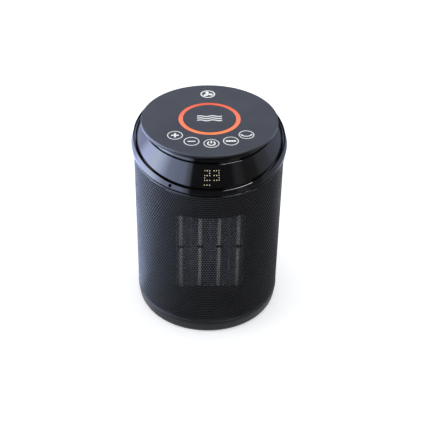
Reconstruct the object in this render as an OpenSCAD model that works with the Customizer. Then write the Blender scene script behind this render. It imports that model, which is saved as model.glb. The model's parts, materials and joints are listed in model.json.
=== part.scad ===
// Ceramic space heater: a round body in a perforated sleeve that swings on a low base.
// The front faces -Y, +X is to the viewer's right, and it stands on z = 0. Millimetres.

/* [Body] */
// Outer radius of the perforated sleeve
body_r = 80; // [79:0.5:83]
// Height from the floor to the touch panel
total_h = 230; // [228:0.5:240]
// Sheet thickness of the perforated sleeve
sleeve_t = 0.8; // [0.5:0.1:0.9]
// Height of the sleeve's top edge over the body's axis
sleeve_z = 198.2; // [194:0.2:199]
// Tilt of the sleeve's top edge, low in front
sleeve_tilt = 9.1; // [6:0.1:9.5]

/* [Base] */
// Height of the fixed base ring
base_h = 16; // [15.8:0.1:16.2]
// Height that the rubber feet lift the base
foot_h = 1; // [0.8:0.1:1.2]

/* [Head] */
// Radius of the touch panel disc
panel_r = 71.8; // [69:0.2:72.2]
// Thickness of the touch panel disc
panel_t = 4.4; // [4.2:0.1:5]
// Outer radius of the gloss rim
rim_r = 82.6; // [81:0.2:84]
// Height of the rim's top edge over the body's axis
rim_z = 209; // [208:0.2:210]
// Tilt of the rim's top edge, low in front
rim_tilt = 11; // [9.5:0.1:11]
// Radius of the collar where it rises from the groove
collar_r = 76; // [74.5:0.1:76.2]
// Distance of the collar's top edge from the axis, in front
collar_top_r = 65; // [63.5:0.1:66]
// How far the centre of the collar's top edge sits behind the axis
collar_back = 3; // [0:0.5:3]
// Outer radius of the light ring
ring_r = 32.4; // [30:0.1:34]
// Radial width of the light ring
ring_w = 4.5; // [3:0.1:5]

/* [Touch keys] */
// Radius of the arc that the key symbols sit on
key_arc_r = 49.2; // [47:0.2:50]
// Angle between neighbouring keys
key_step = 23.8; // [21:0.2:26]
// Diameter of a key's outline
key_d = 16; // [12:0.2:17]

/* [Outlet] */
// Width of the outlet window
window_w = 77; // [72:0.5:77]
// Height of the outlet window
window_h = 105; // [95:1:105]
// Height of the window's centre
window_z = 104.5; // [104:0.5:105]
// Height of the heating element's centre
core_z = 103.5; // [103:0.5:104]
// Corner radius of the window
window_corner = 8; // [3:0.5:12]

/* [Swing drive] */
// Teeth of the fixed gear
gear_teeth = 60; // [56:1:62]
// Teeth of the motor's pinion, an odd number so that a gap faces the gear
pinion_teeth = 15; // [15:2:17]

/* [Hidden] */
$fn = 96;
eps = 0.01;
big = 400;

// Fits
run_gap = 0.08;      // hub and shaft running clearance, radial
screw_gap = 0.05;    // screw shank in its hole, radial

// Base: shell wall, deck and plate
plate_t = 2;
plate_r = 73.8;
plate_top = foot_h + plate_t;
deck_top = base_h - 4.5;
deck_t = 2;
deck_bottom = deck_top - deck_t;
shell_inner_r = body_r - 2.5;
hub_r = 12;
hub_bore_r = 9;
foot_r = 6;
foot_ring_r = 56;
base_screw_r = 69;
gland_z = 7.6;
gland_r = 4.2;
gland_bore_r = 3.1;
gland_flange_r = 5.6;
gland_in_y = 70;
tip_x = -45;
tip_r = 3;
tip_travel = 1.5;

// Turntable bearing
ball_r = 2;
ball_count = 12;
ball_ring_r = 60;
ball_gap = 0.1;
race_w = 6;
race_bottom = deck_top + 2 * ball_r + 2 * ball_gap;

// Turntable tray and what stands on it
tray_bottom = base_h + 0.6;
tray_t = 2.2;
tray_top = tray_bottom + tray_t;
tray_r = body_r - sleeve_t - 0.2;
hub_bottom = deck_bottom - 1.9;
retainer_t = 1.8;
chassis_screw_r = 74;
chassis_angles = [20, 160, 200, 340];
board_z = 44;
board_t = 1.6;
board_r = 64;
post_r = 55;

// Swing gears
gear_module = 1;
pressure = 20;
addendum = 0.85;
dedendum = 1.25;
gear_lash = 0.15;    // taken off each gear's tooth thickness
gear_top = deck_top + 4;
pinion_x = gear_module * (gear_teeth + pinion_teeth) / 2;
pinion_bottom = deck_top + 0.6;
pinion_top = tray_bottom - 0.7;
motor_x = pinion_x + 8;
motor_r = 14;
motor_h = 19;
swing_shaft_r = 2.5;

// Housings
wall_out_r = body_r - sleeve_t - 0.6;
wall_t = 2;
wall_in_r = wall_out_r - wall_t;
tunnel_lip = 2.5;

// Heating element and its frame
core_front = -59.8;
core_back = -44.2;
core_w = 76;
core_h = 107;
frame_w = 84;
frame_h = 112;
frame_front = -62;
frame_back = -44;
frame_lip = 2;
rib_h = 0.6;
rib_t = 0.8;
rib_z = 107;
pad_w = 6.5;
pad_h = 3;
tube_pitch = 20.4;
tube_w = 5;
tube_wall = 0.6;
strip_t = 0.8;
fin_t = 0.35;
fin_folds = 30;
tube_xs = [for (i = [-1.5:1:1.5]) i * tube_pitch];
strip_xs = [for (i = [-1:1:1]) i * tube_pitch];

// Fan
fan_z = 107;
duct_wall = 2;
duct_back = -22;
duct_plate_w = 94;
shroud_in_r = 42.2;
shroud_t = 2;
fan_r = 40;
fan_hub_r = 14;
fan_blades = 7;
blade_t = 1.8;
blade_chord = 18;
blade_pitch = 35;
spider_y = 0;
spider_t = 3;
fan_motor_r = 15;
fan_motor_len = 25;
fan_shaft_r = 1.5;
lug_r = 47.5;

// Head: planes through it tilt with the rim
rim_wall = 4.1;
groove_depth = 6;
floor_t = 2;
floor_in_r = 66;
floor_top_z = rim_z - groove_depth;
collar_z = rim_z - 0.8;
collar_wall = 2.2;
collar_top_z = total_h - 8.5;
collar_top_tilt = 1.7;
head_screw_r = 69.5;
spigot_r = 60;
spigot_t = 2.5;
spigot_h = 9.6;
panel_bottom = total_h - panel_t;
flange_t = 1.2;
print_t = 0.12;
symbol_w = 8;
badge_r = 8;
touch_board_r = 56;
touch_board_top = panel_bottom - 3.6;
key_angles = [for (i = [-2:1:2]) i * key_step];

// Front slope of the collar, where the display sits
slope_low = collar_z - collar_r * tan(rim_tilt);
slope_high = collar_top_z - collar_top_r * tan(collar_top_tilt);
slope_angle = atan((collar_r - collar_top_r) / (slope_high - slope_low));
dot_r = 0.52;
dot_row = 2.25;
dot_col = 2.05;
dot_top_z = 210.2;
digit_gap = 7.7;
digit_two = [[1, 1, 1], [0, 0, 1], [1, 1, 1], [1, 0, 0], [1, 1, 1]];
digit_three = [[1, 1, 1], [0, 0, 1], [1, 1, 1], [0, 0, 1], [1, 1, 1]];

// ---------- helpers ----------

module tube(r_out, r_in, z0, z1) {
    translate([0, 0, z0])
        difference() {
            cylinder(r = r_out, h = z1 - z0);
            translate([0, 0, -1]) cylinder(r = r_in, h = z1 - z0 + 2);
        }
}

module disc(r, z0, z1) {
    translate([0, 0, z0]) cylinder(r = r, h = z1 - z0);
}

module box(lo, hi) {
    translate(lo) cube(hi - lo);
}

// A cylinder along +Y from y0 to y1, at height z
module rod_y(r, y0, y1, x = 0, z = 0) {
    translate([x, y0, z]) rotate([-90, 0, 0]) cylinder(r = r, h = y1 - y0);
}

// Copies on a circle
module around(r, angles) {
    for (a = angles) rotate([0, 0, a]) translate([r, 0, 0]) children();
}

// Everything over, or under, a plane that passes height z0 on the axis and rises to the back
module over_plane(z0, tilt) {
    translate([0, 0, z0]) rotate([tilt, 0, 0]) translate([-big / 2, -big / 2, 0]) cube(big);
}

module under_plane(z0, tilt) {
    translate([0, 0, z0]) rotate([tilt, 0, 0]) translate([-big / 2, -big / 2, -big]) cube(big);
}

// A thin slice of a vertical cylinder, cut along a tilted plane
module tilted_slice(r, z0, tilt, t) {
    intersection() {
        cylinder(r = r, h = big, $fn = 72);
        over_plane(z0 - t, tilt);
        under_plane(z0, tilt);
    }
}

module rounded_square(w, h, r) {
    square([w - 2 * r, h], center = true);
    square([w, h - 2 * r], center = true);
    for (x = [-1, 1], z = [-1, 1])
        translate([x * (w / 2 - r), z * (h / 2 - r)]) circle(r = r, $fn = 32);
}

// A screw that points down from z, with its head on top
module screw(shank_r, length, head_r, head_h) {
    cylinder(r = head_r, h = head_h, $fn = 24);
    translate([0, 0, -length]) cylinder(r = shank_r, h = length + eps, $fn = 24);
}

// A wire swept through a few points, its corners cut round
function cut_corners(p) = concat(
    [p[0]],
    [for (i = [0:len(p) - 2], t = [0.25, 0.75]) p[i] + (p[i + 1] - p[i]) * t],
    [p[len(p) - 1]]);
function unit(v) = v / norm(v);
function tangent(p, i) = unit(p[min(i + 1, len(p) - 1)] - p[max(i - 1, 0)]);
function wire_ring(c, t, r, n) =
    let (u = unit(cross(t, [0.9, 0.35, 0.27])), v = cross(t, u))
        [for (k = [0:n - 1]) c + r * (cos(360 * k / n) * u + sin(360 * k / n) * v)];
module wire(points, r) {
    n = 10;
    p = cut_corners(cut_corners(points));
    rings = [for (i = [0:len(p) - 1]) each wire_ring(p[i], tangent(p, i), r, n)];
    last = n * (len(p) - 1);
    walls = [for (i = [0:len(p) - 2], k = [0:n - 1])
        let (a = i * n + k, b = i * n + (k + 1) % n) [a, b, b + n, a + n]];
    ends = [[for (k = [n - 1:-1:0]) k], [for (k = [0:n - 1]) last + k]];
    polyhedron(points = rings, faces = concat(walls, ends), convexity = 6);
}

// Points on an arc of a profile
function arc(cx, cy, r, a0, a1, n = 5) =
    [for (i = [0:n]) [cx + r * cos(a0 + (a1 - a0) * i / n), cy + r * sin(a0 + (a1 - a0) * i / n)]];

// Involute gear outline
function involute(rb, r) = let (t = sqrt(max(0, r * r / (rb * rb) - 1))) t * 180 / PI - atan(t);
function flank(n, r) =
    let (rp = n * gear_module / 2, rb = rp * cos(pressure))
        90 / n - gear_lash * 90 / (PI * rp) + involute(rb, rp) - involute(rb, max(r, rb));
function gear_outline(n) =
    let (rp = n * gear_module / 2, root = rp - dedendum * gear_module, tip = rp + addendum * gear_module)
        [for (i = [0:n - 1], s = [-1, 1], j = [0:3])
            let (r = root + (tip - root) * (s < 0 ? j : 3 - j) / 3, a = 360 * i / n + s * flank(n, r))
                [r * cos(a), r * sin(a)]];

// Front slope of the collar: the surface point at height h, with local z pointing out of it
function slope_r(h) = collar_top_r + (slope_high - h) * tan(slope_angle);
module on_slope(h, azimuth = 0) {
    rotate([0, 0, azimuth])
        translate([0, -slope_r(h), h])
            rotate([90 - slope_angle, 0, 0]) children();
}

// Each lit dot of the display
module each_dot() {
    for (row = [0:4], col = [0:2]) {
        h = dot_top_z - row * dot_row;
        a = (col - 1) * dot_col;
        if (digit_two[row][col] == 1) on_slope(h, a - digit_gap / 2) children();
        if (digit_three[row][col] == 1) on_slope(h, a + digit_gap / 2) children();
    }
    for (col = [0:2])
        on_slope(dot_top_z - 6 * dot_row, (col - 1) * dot_col - digit_gap / 2) children();
}

// ---------- base ----------

module base_shell() {
    profile = concat(
        [[body_r - 5.8, 0.8], [body_r - 2.3, 0.8], [body_r - 1.1, 1.6], [body_r - 0.7, 3.6],
         [body_r, base_h - 4], [body_r + 0.3, base_h - 0.6], [body_r - 0.2, base_h]],
        [[shell_inner_r, base_h], [shell_inner_r, deck_top], [hub_r + run_gap, deck_top],
         [hub_r + run_gap, deck_bottom], [body_r - 4.4, deck_bottom], [body_r - 5.8, plate_top + 0.1]]);
    color("#4a4c50")
        difference() {
            union() {
                rotate_extrude() polygon(profile);
                around(base_screw_r, [45:90:315])
                    tube(3.5, 1.25 + screw_gap, plate_top + 0.05, deck_bottom + eps);
            }
            rod_y(gland_r + 0.2, 66, 90, 0, gland_z);
            around(20, [90, 210, 330]) disc(1.2 + screw_gap, deck_bottom - 1, deck_top + 1);
        }
}

module base_plate() {
    color("#2e2f32")
        difference() {
            disc(plate_r, foot_h, plate_top);
            around(foot_ring_r, [45:90:315]) disc(foot_r + 0.1, foot_h - 1, foot_h + 0.5);
            around(base_screw_r, [45:90:315]) {
                disc(1.7, 0, 4);
                disc(3.1, 0, foot_h + 1.2);
            }
            translate([tip_x, 0, 0]) disc(tip_r + 0.3, 0, 4);
        }
}

module rubber_feet() {
    color("#1b1b1c")
        around(foot_ring_r, [45:90:315]) disc(foot_r, 0, foot_h + 0.5);
}

module base_screws() {
    color("#b9bcc2")
        around(base_screw_r, [45:90:315])
            translate([0, 0, foot_h + 1.15]) rotate([180, 0, 0])
                screw(1.25, 6, 3, 1.1);
}

module cord_gland() {
    color("#202124")
        difference() {
            union() {
                rod_y(gland_r, gland_in_y, rim_r, 0, gland_z);
                rod_y(gland_flange_r, body_r + 0.35, rim_r, 0, gland_z);
            }
            rod_y(gland_bore_r, gland_in_y - 1, rim_r + 1, 0, gland_z);
        }
}

module supply_lead() {
    color("#d8d8d8")
        wire([[0, gland_in_y - 1, gland_z], [0, 40, plate_top + 1.4], [0, 10, plate_top + 1.4],
              [0, 0, plate_top + 1.4], [0, 0, 14]], 1.2);
}

module swing_gear() {
    color("#e6e3da")
        difference() {
            translate([0, 0, deck_top])
                linear_extrude(height = gear_top - deck_top) polygon(gear_outline(gear_teeth));
            disc(14, deck_top - 1, gear_top + 1);
            around(20, [90, 210, 330]) {
                disc(1.2 + screw_gap, deck_top - 1, gear_top + 1);
                disc(2.2, gear_top - 1.3, gear_top + 1);
            }
        }
}

module gear_screws() {
    color("#b9bcc2")
        around(20, [90, 210, 330]) translate([0, 0, gear_top - 1.3]) screw(1.2, 4.5, 2.1, 1.2);
}

module thrust_washer() {
    color("#e6e3da") tube(17.5, hub_r + 0.4, deck_bottom - 1.6, deck_bottom);
}

module tip_switch() {
    color("#22252b") box([tip_x - 10, -3.2, 6], [tip_x + 10, 3.2, deck_bottom]);
}

module tip_plunger() {
    color("#b23a2e")
        translate([tip_x, 0, 0]) {
            disc(tip_r, 0, plate_top + tip_travel + 0.2);
            disc(4.2, plate_top + tip_travel + 0.1, plate_top + tip_travel + 1.1);
            disc(1, plate_top + tip_travel + 1, 5.9);
        }
}

// ---------- turntable bearing ----------

module ball_cage() {
    cage_mid = deck_top + ball_gap + ball_r;
    color("#d9d5c8")
        difference() {
            tube(ball_ring_r + 5, ball_ring_r - 5, cage_mid - 0.8, cage_mid + 0.8);
            around(ball_ring_r, [0:360 / ball_count:359]) disc(ball_r + 0.1, deck_top, tray_bottom);
        }
}

module bearing_balls() {
    color("#c9ccd2")
        around(ball_ring_r, [0:360 / ball_count:359])
            translate([0, 0, deck_top + ball_gap + ball_r]) sphere(r = ball_r, $fn = 32);
}

// ---------- turntable ----------

module turntable() {
    color("#3b3d42")
        difference() {
            union() {
                disc(tray_r, tray_bottom, tray_top);
                disc(hub_r, hub_bottom, tray_bottom + eps);
                tube(ball_ring_r + race_w / 2, ball_ring_r - race_w / 2, race_bottom, tray_bottom + eps);
                around(post_r, [45:90:315]) disc(3.5, tray_top - eps, board_z);
            }
            disc(hub_bore_r, hub_bottom - 1, tray_top + 1);
            translate([pinion_x, 0, 0]) disc(5, tray_bottom - 1, tray_top + 1);
            for (y = [-17.5, 17.5])
                translate([motor_x, y, 0]) disc(1.4 + screw_gap, tray_bottom - 1, tray_top + 1);
            around(post_r, [45:90:315]) disc(1.25 + screw_gap, board_z - 8, board_z + 1);
            around(chassis_screw_r, chassis_angles)
                disc(1.25 + screw_gap, tray_bottom - 1, tray_top + 1);
            around(10.5, [30, 150, 270]) disc(0.9 + screw_gap, hub_bottom - 1, hub_bottom + 5);
        }
}

module hub_retainer() {
    color("#8d9096")
        difference() {
            tube(18, hub_bore_r + 0.2, hub_bottom - retainer_t, hub_bottom);
            around(10.5, [30, 150, 270]) disc(0.95, 0, hub_bottom + 1);
        }
}

module hub_screws() {
    color("#b9bcc2")
        around(10.5, [30, 150, 270])
            translate([0, 0, hub_bottom - retainer_t]) rotate([180, 0, 0])
                screw(0.9, 6, 1.2, 0.7);
}

module chassis_screws() {
    color("#b9bcc2")
        around(chassis_screw_r, chassis_angles)
            translate([0, 0, tray_bottom]) rotate([180, 0, 0])
                screw(1.25, 11, 2.6, 1.6);
}

module swing_motor() {
    color("#c4c7cc")
        difference() {
            union() {
                translate([motor_x, 0, 0]) disc(motor_r, tray_top + 0.1, tray_top + motor_h);
                box([motor_x - 3.5, -21, tray_top + 0.1], [motor_x + 3.5, 21, tray_top + 0.9]);
                translate([pinion_x, 0, 0]) disc(4.4, tray_bottom + 0.2, tray_top + 1);
            }
            translate([pinion_x, 0, 0]) disc(swing_shaft_r + run_gap, tray_bottom - 1, tray_top + 9.2);
            for (y = [-17.5, 17.5]) translate([motor_x, y, 0]) disc(1.6, tray_top - 1, tray_top + 2);
        }
}

module motor_screws() {
    color("#b9bcc2")
        for (y = [-17.5, 17.5])
            translate([motor_x, y, tray_top + 0.9]) screw(1.4, 2.9, 2.8, 1.6);
}

module drive_pinion() {
    color("#e6e3da")
        translate([pinion_x, 0, 0]) {
            translate([0, 0, pinion_bottom])
                linear_extrude(height = pinion_top - pinion_bottom)
                    polygon(gear_outline(pinion_teeth));
            disc(swing_shaft_r, pinion_top - 1, tray_top + 8.6);
        }
}

// ---------- power electronics ----------

module power_board() {
    color("#1f5a3a")
        difference() {
            disc(board_r, board_z, board_z + board_t);
            around(post_r, [45:90:315]) disc(1.6, board_z - 1, board_z + 3);
        }
}

module board_screws() {
    color("#b9bcc2")
        around(post_r, [45:90:315]) translate([0, 0, board_z + board_t]) screw(1.25, 9, 2.6, 1.6);
}

module relays() {
    top = board_z + board_t;
    color("#2b62a8")
        for (y = [-2, 20]) box([-38, y, top], [-19, y + 15.5, top + 15]);
}

module transformer() {
    top = board_z + board_t;
    color("#d8c26a")
        union() {
            box([-6, 14, top], [14, 32, top + 2]);
            box([-3, 16, top + 2 - eps], [11, 30, top + 12]);
            box([-6, 18, top + 3], [14, 28, top + 11]);
        }
}

module capacitor() {
    color("#26282c")
        translate([32, 8, 0]) disc(6.5, board_z + board_t, board_z + board_t + 14);
}

module terminal_block() {
    top = board_z + board_t;
    color("#3c7a4a")
        difference() {
            box([8, 40, top], [30, 50, top + 10]);
            for (x = [13.5, 19, 24.5]) translate([x, 45, 0]) disc(1.8, top + 4, top + 11);
        }
}

// ---------- housings ----------

module window_cut(w, h, y0, y1) {
    translate([0, y1, window_z]) rotate([90, 0, 0])
        linear_extrude(height = y1 - y0) rounded_square(w, h, window_corner);
}

module housing_wall() {
    intersection() {
        union() {
            tube(wall_out_r, wall_in_r, tray_top, total_h);
            around(chassis_screw_r, chassis_angles) disc(3.2, tray_top, tray_top + 15);
        }
        under_plane(sleeve_z - 0.2, sleeve_tilt);
        disc(wall_out_r, tray_top, total_h);
    }
}

module boss_holes() {
    around(chassis_screw_r, chassis_angles) disc(1.25 + screw_gap, tray_top - 1, tray_top + 12);
}

module front_housing() {
    color("#17181a")
        difference() {
            union() {
                housing_wall();
                intersection() {
                    disc(wall_in_r + eps, tray_top, total_h);
                    window_cut(window_w + 2 * tunnel_lip, window_h + 2 * tunnel_lip, -body_r, frame_front);
                }
            }
            window_cut(window_w, window_h, -body_r - 5, frame_front + 5);
            translate([-big / 2, -0.05, 0]) cube(big);
            boss_holes();
        }
}

module rear_housing() {
    slot_h = 5;
    slot_w = 30;
    slot_pitch = 9;
    color("#17181a")
        difference() {
            housing_wall();
            translate([-big / 2, 0.05 - big, 0]) cube(big);
            for (a = [30:30:150], i = [-5:5])
                rotate([0, 0, a])
                    translate([body_r - 10, -slot_w / 2, fan_z + i * slot_pitch - slot_h / 2])
                        cube([20, slot_w, slot_h]);
            boss_holes();
        }
}

module grille() {
    color("#2a2c30")
        intersection() {
            tube(body_r, body_r - sleeve_t, base_h + 0.5, total_h);
            under_plane(sleeve_z, sleeve_tilt);
        }
}

// ---------- heating element ----------

// The middle rib widens to a pad in front of each tube
module ptc_frame() {
    low = core_z - frame_h / 2;
    high = core_z + frame_h / 2;
    color("#1c1d1f")
        difference() {
            box([-frame_w / 2, frame_front, low], [frame_w / 2, frame_back, high]);
            box([-core_w / 2, frame_front + frame_lip, core_z - core_h / 2],
                [core_w / 2, frame_back + 1, core_z + core_h / 2]);
            difference() {
                box([-core_w / 2 + 1, frame_front - 1, core_z - core_h / 2 + 1],
                    [core_w / 2 - 1, frame_front + frame_lip, core_z + core_h / 2 - 1]);
                box([-core_w / 2, frame_front + frame_lip - rib_t, rib_z - rib_h / 2],
                    [core_w / 2, frame_front + frame_lip, rib_z + rib_h / 2]);
                for (x = tube_xs)
                    box([x - pad_w / 2, frame_front + frame_lip - rib_t, rib_z - pad_h / 2],
                        [x + pad_w / 2, frame_front + frame_lip, rib_z + pad_h / 2]);
            }
            for (x = [tube_xs[0], 0, tube_xs[3]])
                box([x - 0.6, -56.2, core_z], [x + 0.6, -49.8, high + 1]);
        }
}

module ptc_tubes() {
    color("#d5d7da")
        for (x = tube_xs)
            difference() {
                box([x - tube_w / 2, core_front, core_z - core_h / 2 + 0.2],
                    [x + tube_w / 2, core_back, core_z + core_h / 2 - 0.2]);
                box([x - tube_w / 2 + tube_wall, core_front + tube_wall, core_z - core_h],
                    [x + tube_w / 2 - tube_wall, core_back - tube_wall, core_z + core_h]);
            }
}

module ptc_stones() {
    stone_h = 31;
    color("#7b6f66")
        for (x = tube_xs, i = [-1:1])
            translate([x, (core_front + core_back) / 2, core_z + i * (stone_h + 2)])
                cube([3.4, 12, stone_h], center = true);
}

module ptc_plates() {
    color("#d5d7da")
        for (x = strip_xs)
            box([x - strip_t / 2, core_front, core_z - core_h / 2 + 0.2],
                [x + strip_t / 2, core_back, core_z + core_h / 2 - 0.2]);
}

// One corrugated strip between x0 and x1: sloping leaves joined by short flats at the sides
function left_of(v) = [-v[1], v[0]] / norm(v);
function beside(p, d) = [for (i = [0:len(p) - 1])
    let (n0 = left_of(p[max(i, 1)] - p[max(i, 1) - 1]),
         n1 = i < len(p) - 1 ? left_of(p[i + 1] - p[i]) : n0)
        p[i] + d * (n0 + n1) / (1 + n0 * n1)];
module fin_strip(x0, x1) {
    step = (core_h - 2) / fin_folds;
    inset = fin_t / 2 + 0.05;
    low = core_z - core_h / 2 + 1;
    middle = [for (i = [0:fin_folds - 1], end = [0, 1])
        [(i + end) % 2 == 0 ? x0 + inset : x1 - inset, low + (i + end / 2) * step]];
    half_t = fin_t / 2;
    one_side = beside(middle, half_t);
    other_side = beside(middle, -half_t);
    back = [for (i = [len(middle) - 1:-1:0]) other_side[i]];
    translate([0, core_back, 0]) rotate([90, 0, 0])
        linear_extrude(height = core_back - core_front) polygon(concat(one_side, back));
}

module ptc_fins() {
    half_t = tube_w / 2;
    color("#c3c6ca") {
        fin_strip(-core_w / 2, tube_xs[0] - half_t);
        fin_strip(tube_xs[3] + half_t, core_w / 2);
        for (i = [0:2]) {
            fin_strip(tube_xs[i] + half_t, strip_xs[i] - strip_t / 2);
            fin_strip(strip_xs[i] + strip_t / 2, tube_xs[i + 1] - half_t);
        }
    }
}

module ptc_terminals() {
    color("#c9a24a")
        for (x = [tube_xs[0], 0, tube_xs[3]])
            box([x - 0.4, -56, core_z + core_h / 2], [x + 0.4, -50, core_z + frame_h / 2 + 8]);
}

module thermostat() {
    top = core_z + frame_h / 2;
    color("#b9bcc2")
        translate([15, -53, 0]) {
            disc(8, top, top + 5);
            disc(5, top + 5 - eps, top + 8);
        }
}

module thermal_fuse() {
    color("#d9d9d6")
        translate([-21, -53, core_z + frame_h / 2 + 2.2]) rotate([0, 90, 0])
            cylinder(r = 2.2, h = 12, $fn = 24);
}

// ---------- fan ----------

module air_duct() {
    low = core_z - frame_h / 2;
    high = core_z + frame_h / 2;
    color("#26272a")
        difference() {
            union() {
                box([-frame_w / 2, frame_back, low], [frame_w / 2, duct_back, high]);
                box([-duct_plate_w / 2, duct_back - duct_wall, low], [duct_plate_w / 2, duct_back, high]);
            }
            box([-frame_w / 2 + duct_wall, frame_back - 1, low + duct_wall],
                [frame_w / 2 - duct_wall, duct_back - duct_wall, high - duct_wall]);
            rod_y(shroud_in_r, duct_back - 5, duct_back + 5, 0, fan_z);
            for (x = [-1, 1], z = [-1, 1])
                rod_y(1.25 + screw_gap, duct_back - 5, duct_back + 5,
                      x * lug_r * cos(45), fan_z + z * lug_r * sin(45));
        }
}

module fan_shroud() {
    color("#26272a")
        difference() {
            union() {
                rod_y(shroud_in_r + shroud_t, duct_back, spider_y + spider_t, 0, fan_z);
                for (x = [-1, 1], z = [-1, 1])
                    rod_y(4.2, duct_back, duct_back + 3, x * lug_r * cos(45), fan_z + z * lug_r * sin(45));
            }
            difference() {
                rod_y(shroud_in_r, duct_back - 1, spider_y + spider_t + 1, 0, fan_z);
                rod_y(17, spider_y, spider_y + spider_t, 0, fan_z);
                for (a = [45, 135])
                    translate([0, spider_y + spider_t / 2, fan_z]) rotate([0, a, 0])
                        cube([2 * shroud_in_r + 1, spider_t, 4], center = true);
            }
            rod_y(4.2, spider_y - 1, spider_y + spider_t + 1, 0, fan_z);
            for (x = [-1, 1], z = [-1, 1])
                rod_y(1.25 + screw_gap, duct_back - 5, duct_back + 5,
                      x * lug_r * cos(45), fan_z + z * lug_r * sin(45));
        }
}

module shroud_screws() {
    color("#b9bcc2")
        for (x = [-1, 1], z = [-1, 1])
            translate([x * lug_r * cos(45), duct_back + 3, fan_z + z * lug_r * sin(45)])
                rotate([-90, 0, 0]) screw(1.25, 5, 2.5, 1.6);
}

module fan_motor() {
    color("#a9adb3")
        difference() {
            union() {
                rod_y(fan_motor_r, spider_y + spider_t, spider_y + spider_t + fan_motor_len, 0, fan_z);
                rod_y(4, spider_y, spider_y + spider_t + eps, 0, fan_z);
            }
            rod_y(fan_shaft_r + run_gap, spider_y - 1, spider_y + 24, 0, fan_z);
        }
}

module impeller() {
    front = -16;
    back = -3;
    color("#3a3c40")
        difference() {
            union() {
                rod_y(fan_hub_r, front, back, 0, fan_z);
                intersection() {
                    rod_y(fan_r, front - 1, back, 0, fan_z);
                    translate([0, (front + back) / 2, fan_z])
                        for (i = [0:fan_blades - 1])
                            rotate([0, i * 360 / fan_blades, 0])
                                translate([fan_hub_r - 1, 0, 0]) rotate([90 - blade_pitch, 0, 0])
                                    translate([0, -blade_chord / 2, -blade_t / 2])
                                        cube([fan_r, blade_chord, blade_t]);
                }
            }
            rod_y(fan_shaft_r, front + 4, back + 1, 0, fan_z);
            difference() {
                rod_y(fan_hub_r - 2, front + 2.5, back + 1, 0, fan_z);
                rod_y(4, front + 2, back + 2, 0, fan_z);
            }
        }
}

module motor_shaft() {
    color("#c9ccd2") rod_y(fan_shaft_r, -12, 22, 0, fan_z);
}

// ---------- head ----------

module rim_ring() {
    skirt_r = wall_in_r - 0.2;
    color("#0c0d0f") {
        difference() {
            intersection() {
                union() {
                    tube(rim_r, rim_r - rim_wall, base_h, total_h);
                    intersection() {
                        disc(rim_r - 1, base_h, total_h);
                        under_plane(floor_top_z, rim_tilt);
                        over_plane(floor_top_z - floor_t, rim_tilt);
                    }
                    intersection() {
                        tube(skirt_r, skirt_r - 2, base_h, total_h);
                        under_plane(floor_top_z, rim_tilt);
                    }
                }
                under_plane(rim_z, rim_tilt);
                over_plane(sleeve_z - 6, sleeve_tilt);
            }
            disc(floor_in_r, base_h, total_h + 1);
            difference() {
                under_plane(sleeve_z, sleeve_tilt);
                disc(skirt_r, 0, total_h);
            }
            translate([0, 0, floor_top_z]) rotate([rim_tilt, 0, 0])
                around(head_screw_r, [45:90:315]) disc(1.25 + screw_gap, -5, 2);
        }
    }
}

// An oblique cone: steep behind, with the long display slope in front
module collar_form(inset) {
    hull() {
        tilted_slice(collar_r - inset, collar_z - inset * 0.3, rim_tilt, 1);
        translate([0, collar_back, collar_back * tan(collar_top_tilt)])
            tilted_slice(collar_top_r + collar_back - inset, collar_top_z - inset,
                         collar_top_tilt, 0.5);
    }
}

module collar() {
    color("#08090b")
        difference() {
            union() {
                collar_form(0);
                intersection() {
                    disc(collar_r, base_h, collar_z);
                    over_plane(floor_top_z, rim_tilt);
                    under_plane(collar_z - 0.5, rim_tilt);
                }
            }
            difference() {
                union() {
                    collar_form(collar_wall);
                    intersection() {
                        disc(collar_r - collar_wall, base_h, collar_z);
                        over_plane(floor_top_z - 5, rim_tilt);
                        under_plane(collar_z - 0.5, rim_tilt);
                    }
                }
                translate([0, 0, floor_top_z]) rotate([rim_tilt, 0, 0])
                    around(head_screw_r, [45:90:315]) disc(4.2, 0, 9);
            }
            disc(spigot_r + 0.3, collar_top_z - 6, total_h);
            translate([0, 0, floor_top_z]) rotate([rim_tilt, 0, 0])
                around(head_screw_r, [45:90:315]) disc(1.25 + screw_gap, -1, 7);
            each_dot() translate([0, 0, -4]) cylinder(r = dot_r + 0.05, h = 6, $fn = 16);
        }
}

module head_screws() {
    color("#b9bcc2")
        translate([0, 0, floor_top_z]) rotate([rim_tilt, 0, 0])
            around(head_screw_r, [45:90:315])
                translate([0, 0, -floor_t]) rotate([180, 0, 0]) screw(1.25, 8, 2.5, 1.6);
}

module top_panel() {
    low_round = 1;
    high_round = 2;
    inner = ring_r + 0.05;
    profile = concat(
        [[inner, panel_bottom]],
        arc(panel_r - low_round, panel_bottom + low_round, low_round, -90, 0),
        arc(panel_r - high_round, total_h - high_round, high_round, 0, 90),
        [[inner, total_h]]);
    color("#4b4f55")
        union() {
            rotate_extrude() polygon(profile);
            tube(spigot_r, spigot_r - spigot_t, panel_bottom - spigot_h, panel_bottom + eps);
            around(53, [60, 180, 300])
                tube(2.6, 1.1 + screw_gap, touch_board_top, panel_bottom + eps);
        }
}

module light_ring() {
    color("#ff7a3c")
        union() {
            tube(ring_r, ring_r - ring_w, panel_bottom - eps, total_h);
            tube(ring_r + 2.8, ring_r - ring_w - 2.8, panel_bottom - flange_t, panel_bottom);
        }
}

module centre_cap() {
    color("#4b4f55") disc(ring_r - ring_w - 0.05, panel_bottom, total_h);
}

module touch_board() {
    color("#1f5a3a")
        difference() {
            disc(touch_board_r, touch_board_top - board_t, touch_board_top);
            around(53, [60, 180, 300]) disc(1.3, touch_board_top - 3, touch_board_top + 1);
        }
}

module touch_springs() {
    color("#c9ccd2")
        around(key_arc_r, [for (a = key_angles) a - 90])
            tube(3.6, 2.9, touch_board_top, panel_bottom);
}

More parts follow.
